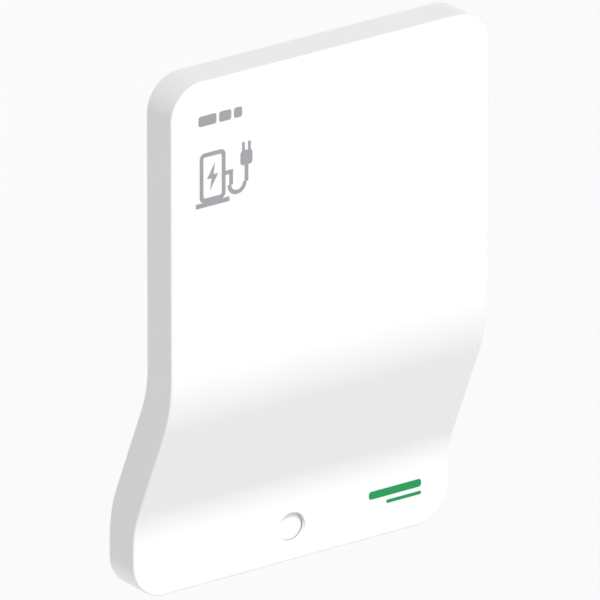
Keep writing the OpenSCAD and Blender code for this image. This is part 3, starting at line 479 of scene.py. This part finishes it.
socket_plastic = moulded("socket_plastic", (0.022, 0.023, 0.026), 0.5, 0.00005, 1300.0, 2.2)
softened("socket_flange", socket_plastic, 0.0006)
softened("socket_sleeve", socket_plastic, 0.0004)
softened("contact_carrier", socket_plastic, 0.0005)
dress("socket_contacts", plated("tinned_brass", (0.78, 0.68, 0.46), 0.28))
dress("socket_seal", seal_rubber)
softened("socket_screws", plated_steel, 0.0003)
softened("lock_actuator", dark_plastic, 0.0008)
softened("lock_pin", plated_steel, 0.0004)

# ---------------------------------------------------------------------------
# Socket lid. A white moulded flap with a rubber ring, hung on a steel pin
# between the flange's ears; a coil spring around the pin keeps it shut.
# ---------------------------------------------------------------------------

lid_plastic = moulded("lid_plastic", (0.90, 0.90, 0.90), 0.4, 0.00003, 1500.0, 1.02)
softened("socket_lid", lid_plastic, 0.0008, 3)
dress("lid_seal", seal_rubber)
softened("lid_hinge_pin", plated_steel, 0.0003)
dress("lid_spring", plated_steel)

# ---------------------------------------------------------------------------
# Housing seal and inner cover. A rubber cord lies between the tub and the
# touch-proof inner cover, which follows the outer cover's wave. Six long
# screws hold it, and the devices' noses look through its window.
# ---------------------------------------------------------------------------

dress("housing_seal", seal_rubber)
inner_plastic = moulded("inner_plastic", (0.80, 0.81, 0.82), 0.5, 0.00005, 1100.0)
softened("inner_cover", inner_plastic, 0.0009, 3)
softened("inner_cover_screws", plated_steel, 0.0003)

# ---------------------------------------------------------------------------
# Start and stop button. A white cap slides in a grey collar on the inner
# cover, pushed out by a coil spring, and works a small switch behind. An
# open spring clip holds the collar. The cap is a little crowned.
# ---------------------------------------------------------------------------


def turned(name, outline, centre, steps=96):
    """A solid of revolution about Y from [radius, y] points, closed on the axis."""
    shape = bmesh.new()
    rings = []
    for radius, along in outline:
        if radius < 1e-6:
            rings.append([shape.verts.new((centre[0], along, centre[1]))])
        else:
            ring = []
            for k in range(steps):
                turn = 2 * pi * k / steps
                point = (centre[0] + radius * cos(turn), along, centre[1] + radius * sin(turn))
                ring.append(shape.verts.new(point))
            rings.append(ring)
    for first, second in zip(rings, rings[1:]):
        for k in range(steps):
            corners = [first[k % len(first)], first[(k + 1) % len(first)]]
            corners += [second[(k + 1) % len(second)], second[k % len(second)]]
            unique = list(dict.fromkeys(corners))
            if len(unique) > 2:
                shape.faces.new(unique)
    bmesh.ops.recalc_face_normals(shape, faces=shape.faces)
    for face in shape.faces:
        face.smooth = True
    mesh = bpy.data.meshes.new(name)
    shape.to_mesh(mesh)
    shape.free()
    return piece_from(name, mesh)


def quarter(centre, radius, start, end):
    """Points of an arc, for the rounded corners of turned outlines."""
    steps = 6
    turns = [radians(start + (end - start) * i / steps) for i in range(steps + 1)]
    return [(centre[0] + radius * cos(turn), centre[1] + radius * sin(turn)) for turn in turns]


def weigh_normals(piece):
    """Keeps big faces flat in shading, and sharp edges sharp."""
    sharp_over = radians(40)
    shape = bmesh.new()
    shape.from_mesh(piece.data)
    for edge in shape.edges:
        edge.smooth = len(edge.link_faces) == 2 and edge.calc_face_angle(0) < sharp_over
    shape.to_mesh(piece.data)
    shape.free()
    weigh = piece.modifiers.new("flat_faces", "WEIGHTED_NORMAL")
    weigh.keep_sharp = True
    weigh.weight = 90


def cover_plastic(name, roughness):
    """Satin white polycarbonate: almost plain, with a very fine grain and faint flow of tone."""
    finish = Finish(name, {"IOR": 1.5, "Coat Weight": 0.08, "Coat Roughness": 0.3})
    streams = {"Vector": finish.stretched(1.0, 1.0, 0.35), "Scale": 9.0, "Detail": 4.0}
    flow = finish.node("ShaderNodeTexNoise", {}, streams, "Fac")
    grain = finish.noise(1700.0, 3.0, 0.65)
    dust = finish.noise(420.0, 5.0, 0.7).spread(0.7, 0.86)
    white = finish.mix(flow, (0.79, 0.795, 0.80, 1.0), (0.815, 0.815, 0.815, 1.0))
    finish.set(
        Base_Color=finish.mix(dust * 0.25, white, (0.72, 0.715, 0.70, 1.0)),
        Roughness=roughness + flow * 0.05 + grain * 0.05 + dust * 0.08,
        Normal=finish.bump(grain, 0.000022),
    )
    return finish.material


cap_low, cap_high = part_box("button_cap")
button_centre = (0.5 * (cap_low.x + cap_high.x), 0.5 * (cap_low.z + cap_high.z))
cap_radius = 0.5 * (cap_high.x - cap_low.x)
cap_face = cap_low.y
cap_skirt = 0.0016
cap_floor = 0.0026
cap_depth = 0.0147
skirt_chamfer = 0.0003
inside_fillet = 0.001
stem_radius = 0.0025
stem_chamfer = 0.0004
crown = 0.00025
edge_round = 0.0009
skirt_inside = cap_radius - cap_skirt
cap_back = cap_face + cap_depth
floor_back = cap_face + cap_floor
stem_back = cap_high.y
cap_outline = [(0.0, cap_face)]
cap_outline += [(cap_radius * share, cap_face + crown * share ** 3) for share in (0.3, 0.55, 0.75, 0.86)]
cap_outline += quarter((cap_radius - edge_round, cap_face + crown + edge_round), edge_round, -90, 0)
cap_outline += [
    (cap_radius, cap_back - skirt_chamfer),
    (cap_radius - skirt_chamfer, cap_back),
    (skirt_inside, cap_back),
    (skirt_inside, floor_back + inside_fillet),
    (skirt_inside - inside_fillet, floor_back),
    (stem_radius + inside_fillet, floor_back),
    (stem_radius, floor_back + inside_fillet),
    (stem_radius, stem_back - stem_chamfer),
    (stem_radius - stem_chamfer, stem_back),
    (0.0, stem_back),
]
button_plastic = cover_plastic("button_plastic", 0.34)
button_piece = turned("button_cap_crowned", cap_outline, button_centre)
weigh_normals(button_piece)
seat(button_piece, button_plastic, "button_cap")
softened("button_collar", moulded("collar_plastic", (0.72, 0.73, 0.74), 0.46), 0.0005, 3)
dress("collar_clip", plated_steel)
coil = piece_from("button_spring_coil", frame["nodes"]["button_spring"].data.copy())
seat(coil, plated_steel, "button_spring")
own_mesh(coil)
dress("button_switch", dark_plastic)

# ---------------------------------------------------------------------------
# Cover hinge and latch tab. Two cast brackets on the housing's top and a
# bent tab under its floor, powder coated grey. Steel pins with headed ends
# join the brackets' eyes to the cover's lugs.
# ---------------------------------------------------------------------------


def powder_coat(name, colour):
    """Baked powder: orange-peel skin, chipped to bare metal here and there along the edges."""
    finish = Finish(name, {"IOR": 1.5})
    peel = finish.noise(1100.0, 2.0, 0.4)
    chips = (finish.edges(0.0004) * finish.noise(700.0, 4.0).spread(0.5, 0.62)).above(0.45)
    finish.set(
        Base_Color=finish.mix(chips, colour + (1.0,), (0.42, 0.42, 0.43, 1.0)),
        Metallic=chips * 0.9,
        Roughness=0.42 + peel * 0.12 - chips * 0.1,
        Normal=finish.bump(peel, 0.00008),
    )
    return finish.material


grey_powder = powder_coat("grey_powder", (0.46, 0.47, 0.49))
softened("hinge_brackets", grey_powder, 0.0006)
softened("latch_tab", grey_powder, 0.0003)
softened("hinge_pins", plated_steel, 0.0003)

# ---------------------------------------------------------------------------
# Front cover. One injection moulding in satin white: a plate that bends back
# in a long wave, a rim of even depth all round with softly rounded edges, a
# stepped opening for the button, stiffening ribs and two pairs of lugs.
# ---------------------------------------------------------------------------

cover_low, cover_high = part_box("front_cover")
half_width = 0.5 * (cover_high.x - cover_low.x)
half_height = 0.5 * (cover_high.z - cover_low.z)
upper_out = -cover_low.y
corner_radius = 0.032
wall = 0.003
rim_depth = 0.035
setback = 0.056
wave_start = -0.018
wave_angle = radians(23.8)
wave_top_radius = 0.138
wave_bottom_radius = 0.086
bend_steps = 28
corner_steps = 20

bends_setback = (wave_top_radius + wave_bottom_radius) * (1 - cos(wave_angle))
slope_length = (setback - bends_setback) / sin(wave_angle)
slope_end_out = upper_out - wave_top_radius * (1 - cos(wave_angle)) - slope_length * sin(wave_angle)
slope_end_z = wave_start - wave_top_radius * sin(wave_angle) - slope_length * cos(wave_angle)
low_bend_out = slope_end_out + wave_bottom_radius * cos(wave_angle)
low_bend_z = slope_end_z - wave_bottom_radius * sin(wave_angle)
lower_out = upper_out - setback


def right_side():
    """The cover's outline from top to bottom: x, z, distance out, slope and outline normal."""
    cx, cz = half_width - corner_radius, half_height - corner_radius
    rows = []
    for i in range(corner_steps + 1):
        a = pi / 2 * (1 - i / corner_steps)
        x, z = cx + corner_radius * cos(a), cz + corner_radius * sin(a)
        rows.append((x, z, upper_out, 0.0, cos(a), sin(a)))
    for i in range(bend_steps + 1):
        a = wave_angle * i / bend_steps
        z = wave_start - wave_top_radius * sin(a)
        rows.append((half_width, z, upper_out - wave_top_radius * (1 - cos(a)), a, 1.0, 0.0))
    for i in range(bend_steps, -1, -1):
        a = wave_angle * i / bend_steps
        z = low_bend_z + wave_bottom_radius * sin(a)
        rows.append((half_width, z, low_bend_out - wave_bottom_radius * cos(a), a, 1.0, 0.0))
    for i in range(corner_steps + 1):
        a = -pi / 2 * i / corner_steps
        x, z = cx + corner_radius * cos(a), -cz + corner_radius * sin(a)
        rows.append((x, z, lower_out, 0.0, cos(a), sin(a)))
    return rows


def level(rows, inset, back):
    """The outline moved in by inset and back from the front, as a closed ring of points."""
    right = [
        (x - inset * nx, -(out - back * cos(a)), z - inset * nz + back * sin(a))
        for x, z, out, a, nx, nz in rows
    ]
    left = [(-x, y, z) for x, y, z in reversed(right)]
    return right + left


def cover_levels():
    """Inset and depth of each ring, from the front's edge round the rim to the inner face's edge."""
    outer, lip, inner = 0.0018, 0.0006, 0.0012
    outer_steps, lip_steps, inner_steps = 7, 3, 4
    path = []
    for i in range(outer_steps + 1):
        a = pi / 2 * i / outer_steps
        path.append((outer * (1 - sin(a)), outer * (1 - cos(a))))
    for i in range(lip_steps + 1):
        a = pi / 2 * i / lip_steps
        path.append((lip * (1 - cos(a)), rim_depth - lip * (1 - sin(a))))
    for i in range(lip_steps + 1):
        a = pi / 2 * i / lip_steps
        path.append((wall - lip * (1 - sin(a)), rim_depth - lip * (1 - cos(a))))
    for i in range(inner_steps + 1):
        a = pi / 2 * i / inner_steps
        path.append((wall + inner * (1 - cos(a)), wall + inner * (1 - sin(a))))
    return path


def shell_mesh():
    """Rings from the front's edge to the inner face's edge, closed by strips across both faces."""
    rows = right_side()
    count = len(rows)
    around = 2 * count
    shape = bmesh.new()
    rings = []
    for inset, back in cover_levels():
        rings.append([shape.verts.new(point) for point in level(rows, inset, back)])
    for first, second in zip(rings, rings[1:]):
        for k in range(around):
            after = (k + 1) % around
            shape.faces.new((first[k], first[after], second[after], second[k]))
    for ring in (rings[0], rings[-1]):
        for k in range(count - 1):
            shape.faces.new((ring[k], ring[k + 1], ring[around - 2 - k], ring[around - 1 - k]))
    bmesh.ops.recalc_face_normals(shape, faces=shape.faces)
    for face in shape.faces:
        face.smooth = True
    mesh = bpy.data.meshes.new("cover_shell")
    shape.to_mesh(mesh)
    shape.free()
    return mesh


def opening_cutter():
    """The stepped button opening with a small rounded lip."""
    radius, step_radius, step = 0.0135, 0.0125, 0.0015
    lip, chamfer, clear = 0.0005, 0.0002, 0.002
    front = -lower_out
    outline = [(0.0, front - clear), (radius + lip, front - clear)]
    for turn in (0, 22, 45, 68, 90):
        a = radians(turn)
        outline.append((radius + lip - lip * sin(a), front + lip * (1 - cos(a))))
    outline += [
        (radius, front + step),
        (step_radius + chamfer, front + step),
        (step_radius, front + step + chamfer),
        (step_radius, front + wall + clear),
        (0.0, front + wall + clear),
    ]
    return turned("button_opening_cutter", outline, button_centre, 128)


def cut(piece, cutter):
    """Cuts one mesh with another, and removes the cutter."""
    trimming = piece.modifiers.new("opening", "BOOLEAN")
    trimming.operation = "DIFFERENCE"
    trimming.solver = "EXACT"
    trimming.object = cutter
    bpy.context.view_layer.update()
    shown = piece.evaluated_get(bpy.context.evaluated_depsgraph_get())
    done = bpy.data.meshes.new_from_object(shown)
    piece.modifiers.clear()
    piece.data = done
    bpy.data.objects.remove(cutter)


def screw_hole_cutter():
    """The clearance hole for the lock screw through the bottom rim."""
    hole_radius = 0.0028
    low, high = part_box("cover_screw")
    shape = bmesh.new()
    bmesh.ops.create_cone(
        shape, cap_ends=True, segments=48, radius1=hole_radius, radius2=hole_radius, depth=4 * wall
    )
    mesh = bpy.data.meshes.new("screw_hole_cutter")
    shape.to_mesh(mesh)
    shape.free()
    cutter = piece_from("screw_hole_cutter", mesh)
    cutter.location = (0.5 * (low.x + high.x), 0.5 * (low.y + high.y), cover_low.z)
    return cutter


cover_white = cover_plastic("cover_white", 0.36)
cover = piece_from("front_cover_shell", shell_mesh())
cut(cover, opening_cutter())
cut(cover, screw_hole_cutter())
weigh_normals(cover)
seat(cover, cover_white, "front_cover", "cover_sides", "cover_ends")
softened("cover_ribs", cover_white, 0.0003)
softened("cover_lugs", cover_white, 0.0004)

# ---------------------------------------------------------------------------
# Marks. Printed vinyl film on the cover: three grey bars, a grey charging
# post with its lead, and two green bars in the lower right corner.
# ---------------------------------------------------------------------------


def printed_film(name, colour):
    """Matt vinyl film with a faint printing grain."""
    finish = Finish(name, {"IOR": 1.46, "Specular IOR Level": 0.3})
    ink = finish.noise(2400.0, 3.0, 0.6)
    finish.set(
        Base_Color=finish.mix(ink, shade(colour, 0.94), shade(colour, 1.06)),
        Roughness=0.5 + ink * 0.12,
        Normal=finish.bump(ink, 0.00001),
    )
    return finish.material


grey_film = printed_film("grey_film", (0.302, 0.31, 0.323))
dress("cover_icon", grey_film)
dress("cover_label_bars", grey_film)
dress("corner_badge", printed_film("green_film", (0.0072, 0.262, 0.0735)))

# ---------------------------------------------------------------------------
# Cover lock. A hexagon-socket screw stands in the bottom rim and turns in a
# brass nut above the slotted tab, so that the cover stays shut.
# ---------------------------------------------------------------------------

softened("cover_screw", plated_steel, 0.0003)
softened("cover_nut", plain_brass, 0.0003)

# ---------------------------------------------------------------------------
# Studio: a plain pale floor far below, soft light all round with a stronger
# window from the front, and a long-lens camera to the left and above.
# ---------------------------------------------------------------------------

view_left = radians(35.45)
view_up = radians(22.11)
lens_mm = 1300.0
sensor_mm = 36.0
view_width = 0.5006
aim_right = -0.0257
aim_up = 0.0136
view_right = Vector((cos(view_left), -sin(view_left), 0.0))
view_top = Vector((sin(view_up) * sin(view_left), sin(view_up) * cos(view_left), cos(view_up)))
view_back = Vector((-sin(view_left) * cos(view_up), -cos(view_left) * cos(view_up), sin(view_up)))
target = Vector((0.0, -upper_out, 0.0)) + aim_right * view_right + aim_up * view_top

lens = bpy.data.cameras.new("studio_camera")
lens.type = "PERSP"
lens.lens = lens_mm
lens.sensor_width = sensor_mm
lens.clip_start = 0.1
lens.clip_end = 1000.0
camera = bpy.data.objects.new("studio_camera", lens)
bpy.context.scene.collection.objects.link(camera)
camera.location = target + view_back * (view_width * lens_mm / sensor_mm)
camera.rotation_euler = view_back.to_track_quat("Z", "Y").to_euler()
bpy.context.scene.camera = camera

floor_radius = 60.0
floor_level = -1.2
floor_shape = bmesh.new()
bmesh.ops.create_circle(floor_shape, cap_ends=True, radius=floor_radius, segments=96)
floor_mesh = bpy.data.meshes.new("studio_floor")
floor_shape.to_mesh(floor_mesh)
floor_shape.free()
floor = piece_from("studio_floor", floor_mesh)
floor.location = (0.0, 0.0, floor_level)
floor_paint = Finish("floor_paint", {"Roughness": 0.9, "Specular IOR Level": 0.0})
floor_paint.set(Base_Color=floor_paint.mix(floor_paint.noise(0.8), grey(0.885), grey(0.905)))
floor.data.materials.append(floor_paint.material)

world = bpy.data.worlds.new("studio_air")
world.use_nodes = True
air = NodeTree(world.node_tree)
direction = air.node("ShaderNodeTexCoord", {}, {}, "Generated")
height = air.node("ShaderNodeSeparateXYZ", {}, {"Vector": direction}, "Z")
below_to_above = [(0.0, grey(1.0)), (0.7, grey(0.06))]
glow = air.node("ShaderNodeValToRGB", {"stops": below_to_above}, {"Fac": height}, "Color")
background = air.nodes["Background"]
air.feed(background.inputs["Color"], glow)
air.feed(background.inputs["Strength"], 1.05)
bpy.context.scene.world = world

window_light = bpy.data.lights.new("front_window", "SUN")
window_light.energy = 3.2
window_light.angle = radians(16)
window = bpy.data.objects.new("front_window", window_light)
bpy.context.scene.collection.objects.link(window)
window.rotation_euler = Vector((0.15, -1.0, 1.62)).to_track_quat("Z", "Y").to_euler()

bpy.context.scene.view_settings.view_transform = "Standard"
